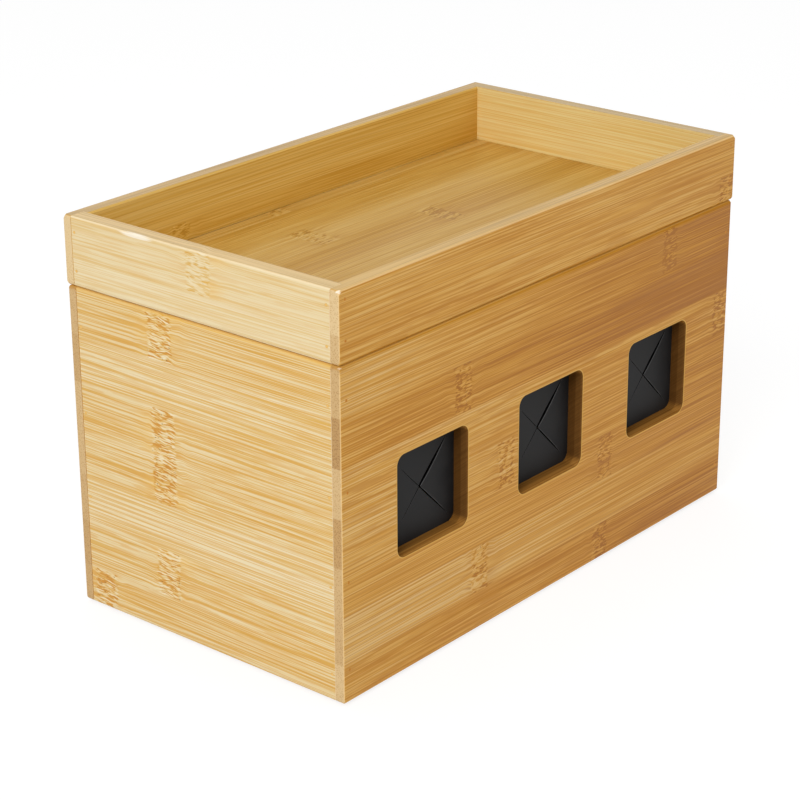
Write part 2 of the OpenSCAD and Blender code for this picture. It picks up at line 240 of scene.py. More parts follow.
def tinted(stock, tint):
    """The same bamboo with its face colours multiplied by a tint."""
    def turned(colour):
        return tuple(part * share for part, share in zip(colour, tint))
    return stock._replace(
        shades=[(place, turned(colour)) for place, colour in stock.shades],
        line=turned(stock.line), smoke=turned(stock.smoke))


GOLDEN_BOUNCE_LIT = tinted(GOLDEN, (1.18, 1.20, 1.07))    # inner faces of the tray's rails, brighter and warmer: painted light bounced inside the tray
PALE_BOUNCE_LIT = tinted(PALE, (1.085, 1.094, 0.858))


def strip(tone, end_tone=0.5, knuckle=NO_KNUCKLE, lean=0.0):
    return Strip(tone, end_tone, knuckle, lean)


FRONT_STRIPS = [
    strip(0.40, 0.56, 0.0956, -0.34), strip(0.22, 0.32, -0.0665, -0.29), strip(0.52, 0.66, 0.1440, -0.18),
    strip(0.50, 0.40, -0.0345, -0.25), strip(0.46, 0.60, 0.0447, -0.20), strip(0.66, 0.56, -0.0540, -0.24),
    strip(0.39, 0.76, 0.0424, -0.22),
]
LEFT_STRIPS = [
    strip(0.54, 0.5, 0.0245), strip(0.64), strip(0.56, 0.5, 0.0245), strip(0.54, 0.5, 0.0245),
    strip(0.70), strip(0.56, 0.5, 0.0245), strip(0.54, 0.5, 0.0675),
]
BACK_STRIPS = [
    strip(0.44, 0.60, -0.0610), strip(0.60, 0.50, 0.1130), strip(0.52, 0.66, -0.0920),
    strip(0.38, 0.64, 0.0520), strip(0.66, 0.56, -0.0300), strip(0.50, 0.46, 0.0790),
    strip(0.56, 0.52, -0.1190),
]
RIGHT_STRIPS = [
    strip(0.56, 0.5, -0.0310), strip(0.48), strip(0.62, 0.5, 0.0420), strip(0.50, 0.5, -0.0310),
    strip(0.54), strip(0.60, 0.5, 0.0180), strip(0.48, 0.5, -0.0310),
]
FRONT_RAIL_STRIPS = [strip(0.56, 0.84, lean=-0.04), strip(0.50, 0.66, 0.1436)]
BACK_RAIL_STRIPS = [strip(0.58, 0.98, lean=-0.04), strip(0.44, 0.90, -0.0840, -0.06)]
LEFT_RAIL_STRIPS = [strip(0.70, 0.6, -0.0015), strip(0.76)]
RIGHT_RAIL_STRIPS = [strip(0.70, 0.6), strip(0.66)]
RIM_RANGE = (0.80, 1.10)    # shares of a rim's colour, from its dark fibres to its light ones
RIM_FIBRES = (0.32, 0.62)
RIM_LIT_COLOURS = {             # the rails' upper faces, painted as light falls on them: lighter on the near front and left rails, darker on the far back and right ones
    "front": (0.620, 0.415, 0.155), "back": (0.545, 0.385, 0.180),
    "left": (0.690, 0.475, 0.205), "right": (0.480, 0.330, 0.145),
}
FLOOR_STRIPS = [            # from the back
    strip(0.54, 0.5, -0.0210, 0.01), strip(0.40, lean=-0.02), strip(0.57, 0.5, -0.0390, -0.02),
    strip(0.37, 0.5, 0.0280, -0.04), strip(0.54, 0.5, -0.1020, -0.04), strip(0.48, 0.5, 0.0870),
    strip(0.66, 0.5, -0.0600),
]

# Painted highlights, spots where an edge is almost white: board, place and size of each
PAINTED_GLINTS = {
    "tray_left_rail": ((-150.4 * MM, 36.0 * MM, 194.6 * MM), (1.8 * MM, 11.0 * MM, 1.3 * MM)),
    "tray_front_rail": ((-149.4 * MM, -81.8 * MM, 194.7 * MM), (1.5 * MM, 1.2 * MM, 0.9 * MM)),
    "front_panel": ((-149.0 * MM, -81.6 * MM, 160.6 * MM), (1.1 * MM, 1.0 * MM, 0.6 * MM)),
}
GLINT_COLOUR = (0.960, 0.900, 0.780)

# Rubber seals: a sheet with a cross slit that makes four flaps
SHEET_HALF = 34.5 * MM
SHEET_CORNER = 3.0 * MM
SHEET_CORNERS = [(1, 1), (-1, 1), (-1, -1), (1, -1)]    # the quarter that each corner lies in
SHEET_THICKNESS = 1.5 * MM
SHEET_STEPS = 6             # edges of a round corner
FLAP_REACH = 20.0 * MM
FLAP_ROWS = 15
FLAP_COLUMNS = 10
FLAP_BLUNT = 0.01           # share of its length that a flap's tip is short of a point
CUT_HALF = 0.10 * MM
CUT_SHUT = 0.01 * MM
CUT_RISE = 6                # a cut parts over the first sixth of its open length
OPENING_TURN = 2.4          # radians of a sine: a cut is widest some way from its middle
SHARP_ANGLE = 25            # degrees between faces that aren't shaded as one
Cut = namedtuple("Cut", "widest closed")    # closed: share of its length that stays shut
WIDE_CUT = Cut(1.00 * MM, 0.0)
FINE_CUT = Cut(0.34 * MM, 0.02)
SHUT_CUT = Cut(0.04 * MM, 0.35)
Flap = namedtuple("Flap", "left_cut right_cut chamfer push")     # push: how far its tip stands back
USED_FLAPS = {              # one cut has opened a little
    "lower": Flap(SHUT_CUT, FINE_CUT, 0.06 * MM, 0.0),
    "right": Flap(FINE_CUT, WIDE_CUT, 0.24 * MM, 0.3 * MM),
    "upper": Flap(WIDE_CUT, SHUT_CUT, 0.06 * MM, 0.1 * MM),
    "left": Flap(SHUT_CUT, SHUT_CUT, 0.06 * MM, 0.2 * MM),
}
NEW_FLAPS = {side: Flap(SHUT_CUT, SHUT_CUT, 0.06 * MM, 0.0) for side in USED_FLAPS}
HIGHLIT_BEVEL, SHADED_SIDE = 1, 2          # a seal's materials after the one of its faces: the bevel with a painted highlight, the cut's sides with painted shade

# Other materials: dark and light shades, and features per metre
Rubber = namedtuple("Rubber", "dark light roughness gloss")
SEAL_FACE = Rubber((0.0094, 0.0094, 0.0099), (0.0152, 0.0150, 0.0150), 0.50, 0.17)
# painted highlight along the bevels of the cuts
SEAL_BEVEL_HIGHLIGHT = Rubber((0.060, 0.060, 0.060), (0.080, 0.080, 0.080), 0.50, 0.17)
# painted shade: near-black sides of the cuts
SEAL_CUT_SHADE = Rubber((0.0015, 0.0015, 0.0015), (0.0025, 0.0025, 0.0025), 0.60, 0.02)
FOOT_RUBBER = Rubber((0.018, 0.018, 0.018), (0.032, 0.032, 0.032), 0.65, 0.17)
RUBBER_CLOUDS = 55.0
RUBBER_GRAIN = 2600.0
ZINC_PATCHES = 700.0
PUTTY_SPECKS = 1800.0
ZINC_SHADES = [(0.3, (0.46, 0.47, 0.49)), (0.7, (0.64, 0.64, 0.63))]
AMBER_PUTTY = [(0.3, (0.460, 0.160, 0.012)), (0.7, (0.600, 0.250, 0.026))]
PALE_PUTTY = [(0.3, (0.740, 0.420, 0.100)), (0.7, (0.840, 0.540, 0.170))]


# ---- Shader graphs ----

class Graph:
    """Adds nodes to a shader tree. A socket or a constant can go into any input."""

    def __init__(self, tree):
        self.tree = tree

    def plug(self, socket, value, plain=None):
        """plain is the constant that stands in for a varying value where only one can be kept."""
        if plain is not None:
            socket.default_value = plain
        if isinstance(value, bpy.types.NodeSocket):
            self.tree.links.new(value, socket)
        else:
            socket.default_value = value

    def node(self, kind, inputs=(), **settings):
        node = self.tree.nodes.new(kind)
        for name, value in settings.items():
            setattr(node, name, value)
        for key, value in dict(inputs).items():
            self.plug(node.inputs[key], value)
        return node

    def math(self, operation, *values, clamp=False):
        node = self.node("ShaderNodeMath", enumerate(values), operation=operation, use_clamp=clamp)
        return node.outputs[0]

    def times(self, a, b):
        return self.math("MULTIPLY", a, b)

    def plus(self, a, b):
        return self.math("ADD", a, b)

    def minus(self, a, b):
        return self.math("SUBTRACT", a, b)

    def size(self, value):
        return self.math("ABSOLUTE", value)

    def outside(self, mask, share):
        """1 outside a mask, and less by a share inside it."""
        return self.math("MULTIPLY_ADD", mask, -share, 1.0)

    def scaled(self, value, low, high, to_low=0.0, to_high=1.0, smooth=False):
        kind = "SMOOTHSTEP" if smooth else "LINEAR"
        inputs = {"Value": value, "From Min": low, "From Max": high, "To Min": to_low, "To Max": to_high}
        return self.node("ShaderNodeMapRange", inputs, interpolation_type=kind).outputs[0]

    def swing(self, value, reach):
        """Value from 0 to 1, made to go from -reach to reach."""
        return self.scaled(value, 0.0, 1.0, -reach, reach)

    def place(self):
        """Place in the frame of the CAD model, in metres."""
        return self.node("ShaderNodeTexCoord").outputs["Object"]

    def normal(self):
        return self.node("ShaderNodeTexCoord").outputs["Normal"]

    def vector(self, x, y, z):
        return self.node("ShaderNodeCombineXYZ", {"X": x, "Y": y, "Z": z}).outputs[0]

    def axes(self, vector):
        """Parts of a vector, by the names of the axes."""
        return dict(zip("XYZ", self.node("ShaderNodeSeparateXYZ", {0: vector}).outputs))

    def noise(self, vector, scale=1.0, detail=2.0, roughness=0.5, distortion=0.0):
        inputs = {"Vector": vector, "Scale": scale, "Detail": detail, "Roughness": roughness,
                  "Distortion": distortion}
        return self.node("ShaderNodeTexNoise", inputs).outputs["Fac"]

    def chance(self, value):
        """Random number from 0 to 1 for each value."""
        return self.node("ShaderNodeTexWhiteNoise", {"W": value}, noise_dimensions="1D").outputs["Value"]

    def cells(self, vector, rate):
        """Distance from the middle of the nearest cell, in cells, and a colour for each cell."""
        outputs = self.node("ShaderNodeTexVoronoi", {"Vector": vector, "Scale": rate}).outputs
        return outputs["Distance"], outputs["Color"]

    def ramp(self, value, stops, interpolation="LINEAR"):
        node = self.node("ShaderNodeValToRGB", {"Fac": value})
        elements = node.color_ramp.elements
        node.color_ramp.interpolation = interpolation
        while len(elements) < len(stops):
            elements.new(1.0)
        for element, (place, colour) in zip(elements, stops):
            element.position = place
            element.color = colour if len(colour) == 4 else (*colour, 1.0)
        return node

    def colours(self, value, stops):
        return self.ramp(value, stops).outputs["Color"]

    def mix(self, factor, a, b):
        node = self.node("ShaderNodeMix", data_type="RGBA")
        self.plug(node.inputs["Factor"], factor)
        colours = [s for s in node.inputs if s.type == "RGBA"]
        for socket, value in zip(colours, (a, b)):
            is_plain = not isinstance(value, bpy.types.NodeSocket)
            self.plug(socket, (*value, 1.0) if is_plain and len(value) == 3 else value)
        return [s for s in node.outputs if s.type == "RGBA"][0]

    def laid(self, colour, tint, mask, strength):
        """Colour with a tint laid over it where a mask is."""
        return self.mix(self.times(mask, strength), colour, tint)

    def bump(self, height, distance, strength):
        inputs = {"Height": height, "Distance": distance, "Strength": strength}
        return self.node("ShaderNodeBump", inputs).outputs["Normal"]


def new_surface(name):
    """Material with a Principled shader: returns it, its graph and the shader node."""
    material = bpy.data.materials.new(name)
    material.use_nodes = True
    shader = next(n for n in material.node_tree.nodes if n.type == "BSDF_PRINCIPLED")
    return material, Graph(material.node_tree), shader


def dress(node_name, material):
    """Gives a CAD node its material."""
    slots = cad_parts[node_name].data.materials
    slots.clear()
    slots.append(material)


# ---- Bamboo ----

def third_axis(board):
    """Name of the axis that goes through the board."""
    return next(axis for axis in "XYZ" if axis not in (board.grain, board.across))


def strip_facts(graph, board, along, across):
    """Number of the strip, place in it from 0 to 1, its knuckle's place, and its two tones."""
    rank = graph.math("DIVIDE", graph.minus(board.edge, across), STRIP_WIDTH)
    number = graph.math("FLOOR", rank)
    count = len(board.strips)
    share = graph.math("DIVIDE", graph.plus(number, 0.5), float(count))
    stops = []
    for i, one in enumerate(board.strips):
        facts = (one.knuckle / KNUCKLE_RANGE + 0.5, one.tone, one.end_tone, one.lean + 0.5)
        stops.append((i / count, facts))
    table = graph.ramp(share, stops, "CONSTANT")
    facts = graph.node("ShaderNodeSeparateColor", {0: table.outputs["Color"]}).outputs
    knuckle = graph.swing(facts[0], KNUCKLE_RANGE / 2)
    lean = graph.minus(table.outputs["Alpha"], 0.5)
    tone = graph.math("MULTIPLY_ADD", graph.math("DIVIDE", along, LEAN_LENGTH), lean, facts[1])
    return number, graph.math("FRACT", rank), knuckle, tone, facts[2]


class BoardPattern:
    """Where a point lies in a board, in metres, and what its bamboo shows there, mostly from 0 to 1."""

    def __init__(self, graph, board):
        self.graph = graph
        self.board = board
        axes = graph.axes(graph.place())
        self.along = axes[board.grain]
        self.across = axes[board.across]
        self.through = axes[third_axis(board)]
        number, within, knuckle, strip_tone, self.end_tone = strip_facts(
            graph, board, self.along, self.across)
        self.shift = graph.math("MULTIPLY_ADD", number, STRIP_SHIFT, board.seed)
        self.curl = self.noise(CURL, self.across)
        self.offset, self.near, self.inside = self.knuckle_masks(knuckle)
        self.sideways = self.waved_place()
        self.streaks = self.noise(STREAKS, self.sideways)
        self.hairs = self.noise(HAIRS._replace(across_rate=board.stock.hairs.rate), self.sideways)
        slanted = self.slanted_place()
        self.strokes = self.knuckle_strokes(slanted)
        self.pores = self.knuckle_pores(slanted)
        self.smoke = self.knuckle_smoke()
        self.tone, self.lines = self.fibre_figure(strip_tone)
        self.joint = graph.scaled(graph.size(graph.minus(within, 0.5)), *JOINT_SPAN)
        self.dots = self.end_dots()

    def noise(self, kind, sideways):
        """Noise along the grain and sideways to it."""
        graph = self.graph
        vector = graph.vector(
            graph.times(self.along, kind.along_rate),
            graph.times(sideways, kind.across_rate),
            graph.plus(self.shift, kind.start))
        return graph.noise(vector, detail=kind.detail, roughness=kind.roughness)

    def knuckle_masks(self, knuckle):
        """Offset from the strip's knuckle, and masks of what is near the knuckle and inside it."""
        graph = self.graph
        half = self.board.stock.knuckle.half
        ragged = graph.scaled(self.noise(RAGGED, self.across), 0.25, 0.75, -KNUCKLE_RAGGED, KNUCKLE_RAGGED)
        offset = graph.plus(graph.minus(self.along, knuckle), ragged)
        distance = graph.size(offset)
        near, inside = (graph.scaled(distance, half + outer, half + inner, smooth=True)
                        for outer, inner in (CURL_FADE, KNUCKLE_FADE))
        return offset, near, inside

    def waved_place(self):
        """Place across the fibres, which wave everywhere and curl beside a knuckle."""
        graph = self.graph
        drift = graph.swing(self.noise(DRIFT, self.across), DRIFT_SWING)
        sway = graph.times(self.near, graph.swing(self.curl, CURL_SWING))
        waved = graph.plus(graph.plus(self.across, drift), sway)
        return graph.math("MULTIPLY_ADD", self.through, DEPTH_SHARE, waved)

    def slanted_place(self):
        """Place across the strokes of a knuckle."""
        graph = self.graph
        slanted = graph.math("MULTIPLY_ADD", self.offset, KNUCKLE_SLANT, self.across)
        slanted = graph.math("MULTIPLY_ADD", self.through, DEPTH_SHARE, slanted)
        return graph.plus(slanted, graph.swing(self.curl, STROKE_SWING))

    def fibre_lines(self, kind):
        """Thin lines along the grain that come and go, each somewhere in its slot."""
        graph = self.graph
        place = graph.times(self.sideways, kind.slot_rate)
        slot = graph.plus(graph.math("FLOOR", place), kind.start)
        middle = graph.scaled(graph.chance(graph.plus(slot, self.shift)), 0.0, 1.0, 0.2, 0.8)
        away = graph.size(graph.minus(graph.math("FRACT", place), middle))
        half = kind.half_width * kind.slot_rate
        line = graph.scaled(away, half, 0.25 * half, smooth=True)
        run = graph.vector(
            graph.times(self.along, kind.along_rate), graph.times(slot, SLOT_SHIFT), self.shift)
        fewer = 0.3 * kind.share
        strength = graph.scaled(graph.noise(run, detail=1.0), 0.62 - fewer, 0.78 - fewer)
        return graph.times(line, strength)

    def fibre_tone(self, strip_tone):
        """Tone of a strip with its bands, bundles and single fibres."""
        graph = self.graph
        look = self.board.stock.hairs
        bands = graph.scaled(self.noise(BANDS, self.sideways), 0.2, 0.8, -look.bands, look.bands)
        bundles = graph.scaled(self.streaks, 0.34, 0.66, -0.02, 0.02, smooth=True)
        grouped = graph.plus(self.hairs, graph.swing(self.streaks, look.groups / 2))
        hairs = graph.scaled(grouped, look.low, look.high, look.dark, look.light)
        figure = graph.plus(graph.plus(bands, bundles), hairs)
        return graph.math("MULTIPLY_ADD", figure, self.board.figure, strip_tone)

    def fibre_figure(self, strip_tone):
        """Tone of the fibres and knuckles, and the dark lines among the fibres.

        Some strips are cut so that straight lines show, others so that short wisps do.
        """
        graph = self.graph
        figure = self.board.figure
        cut = graph.scaled(graph.chance(graph.times(self.shift, CUT_SHIFT)), 0.2, 0.8, 0.05, 0.60)
        wispy = graph.math("MAXIMUM", self.near, cut)
        wisps = self.noise(WISPS, self.sideways)
        dark_wisps = graph.times(graph.scaled(wisps, *DARK_WISPS, smooth=True), wispy)
        light_wisps = graph.scaled(wisps, *LIGHT_WISPS, 0.0, 0.16 * figure, smooth=True)
        lines = graph.math("MAXIMUM", self.fibre_lines(BOLD_LINES), self.fibre_lines(FINE_LINES))
        lines = graph.times(lines, graph.outside(wispy, 0.6))
        lines = graph.math("MAXIMUM", lines, dark_wisps)
        lines = graph.times(lines, graph.outside(self.inside, 0.9))
        tone = graph.math("MULTIPLY_ADD", light_wisps, wispy, self.fibre_tone(strip_tone))
        return graph.math("ADD", tone, self.strokes, clamp=True), graph.times(lines, figure)

    def knuckle_strokes(self, slanted):
        """Change of tone in a knuckle: a stack of short slanted strokes, dark and light."""
        graph = self.graph
        knuckle = self.board.stock.knuckle
        long_rate, cross_rate = knuckle.rates
        run = graph.vector(graph.times(self.along, long_rate), graph.times(slanted, cross_rate), self.shift)
        strokes = graph.noise(run, detail=1.0, distortion=0.4)
        light = graph.scaled(strokes, *LIGHT_STROKES, 0.0, knuckle.lightest, smooth=True)
        dark = graph.scaled(strokes, *DARK_STROKES, 0.0, knuckle.darkest, smooth=True)
        patches = graph.scaled(self.noise(PATCHES, self.across), 0.3, 0.7, -PATCH_TONE, PATCH_TONE)
        change = graph.plus(graph.plus(light, dark), graph.plus(patches, knuckle.shift))
        return graph.times(change, graph.times(self.inside, self.board.figure))

    def knuckle_pores(self, slanted):
        """A few dark pores in a knuckle."""
        graph = self.graph
        middle, colour = graph.cells(
            graph.vector(graph.times(self.along, 0.7), slanted, self.shift), PORE_RATE)
        number = graph.node("ShaderNodeSeparateColor", {0: colour}).outputs[0]
        rare = graph.math("GREATER_THAN", number, PORE_RARITY)
        pores = graph.times(graph.scaled(middle, *PORE_SPAN, smooth=True), graph.times(rare, self.inside))
        return graph.times(pores, self.board.figure)

    def knuckle_smoke(self):
        """Dark clouds round a knuckle."""
        graph = self.graph
        clouds = graph.scaled(self.noise(SMOKE, self.across), *CLOUDS, 0.05, 0.75, smooth=True)
        return graph.times(graph.times(self.near, clouds), graph.outside(self.inside, 0.6))

    def end_dots(self):
        """Dots of cut fibres in the end grain."""
        graph = self.graph
        middle, _ = graph.cells(
            graph.vector(self.across, self.through, graph.times(self.along, 0.1)), DOT_RATE)
        return graph.scaled(middle, *DOT_SPAN, smooth=True)


def face_masks(graph, board, through):
    """Where a face cuts across the grain, is the round of an outer edge, or looks inwards."""
    parts = graph.axes(graph.normal())
    sizes = {axis: graph.size(part) for axis, part in parts.items()}
    largest = graph.math("MAXIMUM", graph.math("MAXIMUM", sizes["X"], sizes["Y"]), sizes["Z"])
    end = graph.scaled(sizes[board.grain], *END_SPAN, smooth=True)
    outward = graph.times(parts[third_axis(board)], graph.math("SIGN", through))
    # rounds of outer edges, laid paler below: sanded bamboo, and a painted highlight
    edge = graph.times(graph.scaled(largest, *ROUND_SPAN, smooth=True),
                       graph.math("GREATER_THAN", outward, OUTWARD))
    return end, edge, graph.math("LESS_THAN", outward, INWARD)


def beside_seam(graph, pattern, stock, colour, edge):
    """Colour, mask of pale edges and gloss of a wall, changed at the groove between box and lid: painted
    shade in the groove and a painted highlight below it.
    """
    below = graph.minus(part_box("tray_front_rail")[0].z, pattern.across)
    away = graph.size(below)
    # painted highlight on the box's upper edge below the groove, in the stock's smoke colour
    glow = graph.scaled(below, *SEAM_HIGHLIGHT, smooth=True)
    glow = graph.times(glow, graph.math("GREATER_THAN", below, 0.0))
    # painted shade: the dark line in the groove
    dark = graph.scaled(away, *SEAM_SHADE, smooth=True)
    colour = graph.laid(colour, stock.smoke, glow, SEAM_SHADE_AND_HIGHLIGHT_STRENGTH)
    colour = graph.laid(colour, GROOVE_SHADE_COLOUR, dark, SEAM_SHADE_AND_HIGHLIGHT_STRENGTH)
    edge = graph.times(edge, graph.scaled(away, *SEAM_EDGE))
    return colour, edge, graph.scaled(away, *SEAM_DULL, 0.0, BOARD_GLOSS)


def on_rim(graph, pattern, rim, colour):
    """Colour of a rail, changed on its upper face to a colour that paints the light falling there."""
    upward = graph.axes(graph.normal())["Z"]
    shades = [tuple(share * part for part in rim) for share in RIM_RANGE]
    fibres = graph.colours(pattern.hairs, list(zip(RIM_FIBRES, shades)))
    return graph.mix(graph.scaled(upward, *RIM_SPAN, 0.0, RIM_STRENGTH), colour, fibres)


def painted_glint(graph, pattern, place, size):
    """1 in the middle of a painted glint, 0 outside it."""
    away = graph.node("ShaderNodeVectorMath", {0: graph.place(), 1: place}, operation="SUBTRACT").outputs[0]
    away = graph.node("ShaderNodeVectorMath", {0: away, 1: size}, operation="DIVIDE").outputs[0]
    away = graph.node("ShaderNodeVectorMath", {0: away}, operation="LENGTH").outputs["Value"]
    away = graph.plus(away, graph.scaled(pattern.hairs, 0.3, 0.7, -0.2, 0.2))
    return graph.scaled(away, 1.0, 0.5, smooth=True)


def face_colour(graph, pattern, stock):
    """Colour of a board's faces, by the tones of a stock."""
    colour = graph.colours(pattern.tone, stock.shades)
    colour = graph.laid(colour, stock.smoke, pattern.smoke, SMOKE_STRENGTH)
    colour = graph.laid(colour, stock.line, pattern.lines, LINE_STRENGTH)
    colour = graph.laid(colour, stock.line, pattern.joint, JOINT_STRENGTH)
    return graph.laid(colour, PORE_COLOUR, pattern.pores, PORE_STRENGTH)


def board_colour(graph, pattern, board):
    """Colour and gloss of a board's faces, end grain and edges."""
    end, edge, inner = face_masks(graph, board, pattern.through)
    colour = face_colour(graph, pattern, board.stock)
    gloss = BOARD_GLOSS
    if board.inner:
        # the tray's inner faces take a stock whose tint paints the light bounced inside the tray
        colour = graph.mix(inner, colour, face_colour(graph, pattern, board.inner))
    end_tone = graph.minus(graph.math("MULTIPLY_ADD", pattern.dots, DOT_TONE, pattern.end_tone), DOT_SHIFT)
    colour = graph.mix(end, colour, graph.colours(end_tone, board.stock.end_shades))
    if board.across == "Z":
        colour, edge, gloss = beside_seam(graph, pattern, board.stock, colour, edge)
    if board.rim:
        colour = on_rim(graph, pattern, board.rim, colour)
    # outer rounded edges in the stock's edge colour: paler sanded bamboo, and a painted highlight
    return graph.laid(colour, board.stock.edge, edge, SANDED_EDGE_AND_HIGHLIGHT_STRENGTH), gloss


def bamboo(name, board, finish=None):
    """Lacquered bamboo board. finish may change its colour and gloss."""
    material, graph, shader = new_surface("bamboo_" + name)
    pattern = BoardPattern(graph, board)
    colour, gloss = board_colour(graph, pattern, board)
    # painted highlights: near-white glints on a few edges and corners
    if name in PAINTED_GLINTS:
        glint = painted_glint(graph, pattern, *PAINTED_GLINTS[name])
        colour = graph.laid(colour, GLINT_COLOUR, glint, GLINT_STRENGTH)
    if finish:
        colour, gloss = finish(graph, pattern, colour, gloss)
    relief = graph.plus(graph.times(pattern.hairs, 0.5), pattern.strokes)
    graph.plug(shader.inputs["Base Color"], colour)
    graph.plug(shader.inputs["Specular IOR Level"], gloss, plain=BOARD_GLOSS)
    graph.plug(shader.inputs["Roughness"], graph.scaled(pattern.streaks, 0.3, 0.7, *BOARD_ROUGHNESS))
    graph.plug(shader.inputs["Normal"], graph.bump(relief, 0.05 * MM, 0.6))
    return material


def beyond_outlets(graph, pattern, seals):
    """Distance outside the nearest of a wall's outlets, negative inside it."""
    low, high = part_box(seals[0])
    centre_z = (low.z + high.z) / 2
    nearest = None
    for name in seals:
        low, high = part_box(name)
        centre_x = (low.x + high.x) / 2
        away = graph.size(graph.minus(pattern.along, centre_x))
        nearest = away if nearest is None else graph.math("MINIMUM", nearest, away)
    height = graph.size(graph.minus(pattern.across, centre_z))
    straight = OUTLET_HALF - OUTLET_CORNER
    sides = [graph.math("MAXIMUM", graph.minus(size, straight), 0.0) for size in (nearest, height)]
    beyond = graph.node("ShaderNodeVectorMath", {0: graph.vector(*sides, 0.0)}, operation="LENGTH")
    return graph.minus(beyond.outputs["Value"], OUTLET_CORNER)


def lip_colour(graph, normal):
    """Colour of the sanded edge round an outlet, with a painted highlight at its top and left."""
    highlit_side = graph.math("MAXIMUM", normal["X"], graph.times(normal["Z"], -1.0))
    return graph.mix(graph.scaled(highlit_side, 0.1, 0.4), DULL_LIP, LIP_HIGHLIGHT)


def burnt_colour(graph, pattern, normal, depth):
    """Colour of the faces inside an outlet, which get darker towards the seal. Those that lie flat are
    lighter, as long grain and as painted light from above.
    """
    upright = graph.colours(pattern.hairs, BURNT_UPRIGHT)
    lying = graph.colours(pattern.hairs, BURNT_LYING)
    burnt = graph.mix(graph.scaled(graph.size(normal["Z"]), 0.3, 0.9), upright, lying)
    deep = graph.scaled(depth, *DEEP_SPAN, 0.0, DEEP_STRENGTH, smooth=True)
    return graph.mix(deep, burnt, BURNT_DEEP)


def burnt_outlets(seals, wall):
    """Finish that darkens the faces inside the cable outlets and tones their sanded edges, partly with a
    painted highlight.
    """
    def finish(graph, pattern, colour, gloss):
        outside = beyond_outlets(graph, pattern, seals)
        face = max(abs(corner.y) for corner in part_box(wall))
        depth = graph.minus(face, graph.size(pattern.through))
        normal = graph.axes(graph.normal())
        lip = graph.scaled(outside, *LIP_SPAN)
        colour = graph.laid(colour, lip_colour(graph, normal), lip, LIP_STRENGTH)
        inside = graph.times(graph.scaled(outside, *BURNT_SPAN),
                             graph.scaled(depth, *BURNT_FROM, smooth=True))
        colour = graph.mix(inside, colour, burnt_colour(graph, pattern, normal, depth))
        return colour, graph.times(gloss, graph.minus(1.0, lip))
    return finish


def painted_crease_shade(graph, pattern, colour, gloss):
    """Finish with painted shade: a dark line where the tray's floor meets the long rails, fainter to the
    right.
    """
    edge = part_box("tray_back_rail")[0].y
    away = graph.minus(edge, graph.size(pattern.across))
    crease_shade = graph.scaled(away, *CREASE_SHADE_SPAN, smooth=True)
    crease_shade = graph.times(crease_shade, graph.scaled(pattern.along, *CREASE_SHADE_RUN, 0.90, 0.45))
    return graph.mix(crease_shade, colour, CREASE_SHADE_COLOUR), gloss


def wall_boards():
    """Panels of the box and rails of the lid, whose strips lie one above another."""
    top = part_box("front_panel")[1].z
    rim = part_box("tray_front_rail")[1].z + RAIL_OFFCUT
    return {
        "front_panel": Board("X", "Z", top, FRONT_STRIPS, AMBER, seed=0.0, figure=0.82),
        "back_panel": Board("X", "Z", top, BACK_STRIPS, AMBER, seed=11.3, figure=0.85),
        "left_panel": Board("Y", "Z", top, LEFT_STRIPS, PALE, seed=23.9, figure=0.98),
        "right_panel": Board("Y", "Z", top, RIGHT_STRIPS, PALE, seed=31.7, figure=1.0),
        "tray_front_rail": Board("X", "Z", rim, FRONT_RAIL_STRIPS, AMBER, seed=53.9, figure=0.8,
                                 rim=RIM_LIT_COLOURS["front"]),
        "tray_back_rail": Board("X", "Z", rim, BACK_RAIL_STRIPS, AMBER, seed=61.3, figure=0.5,
                                rim=RIM_LIT_COLOURS["back"], inner=GOLDEN_BOUNCE_LIT),
        "tray_left_rail": Board("Y", "Z", rim, LEFT_RAIL_STRIPS, PALE, seed=73.7, figure=0.48,
                                rim=RIM_LIT_COLOURS["left"]),
        "tray_right_rail": Board("Y", "Z", rim, RIGHT_RAIL_STRIPS, PALE, seed=83.1, figure=0.5,
                                 rim=RIM_LIT_COLOURS["right"], inner=PALE_BOUNCE_LIT),
    }


def lying_boards():
    """Boards whose strips lie side by side."""
    return {
        "bottom_panel": Board("X", "Y", FLOOR_EDGE, BACK_STRIPS, GOLDEN, seed=43.1, figure=0.7),
        "tray_floor": Board("X", "Y", FLOOR_EDGE, FLOOR_STRIPS, GOLDEN, seed=97.3, figure=0.65),
        "batten_left": Board("Y", "X", BATTEN_EDGE, BACK_STRIPS, AMBER, seed=101.9, figure=0.8),
        "batten_right": Board("Y", "X", BATTEN_EDGE, BACK_STRIPS, AMBER, seed=113.3, figure=0.8),
    }


def dress_boards():
    """Every board, in its own bamboo."""
    finishes = {
        "front_panel": burnt_outlets(("left_seal", "middle_seal", "right_seal"), "front_panel"),
        "back_panel": burnt_outlets(("rear_seal",), "back_panel"),
        "tray_floor": painted_crease_shade,
    }
    for name, board in {**wall_boards(), **lying_boards()}.items():
        dress(name, bamboo(name, board, finishes.get(name)))


# ---- Other materials ----

def rubber(name, kind):
    """Smooth rubber, faintly clouded, with a fine grain."""
    material, graph, shader = new_surface(name)
    cloud = graph.noise(graph.place(), RUBBER_CLOUDS, 3.0, 0.6)
    grain = graph.noise(graph.place(), RUBBER_GRAIN)
    rough = graph.scaled(cloud, 0.3, 0.7, kind.roughness, kind.roughness + 0.12)
    graph.plug(shader.inputs["Base Color"], graph.colours(cloud, [(0.35, kind.dark), (0.65, kind.light)]))
    graph.plug(shader.inputs["Specular IOR Level"], kind.gloss)
    graph.plug(shader.inputs["Roughness"], rough)
    graph.plug(shader.inputs["Normal"], graph.bump(grain, 0.02 * MM, 0.5))
    return material


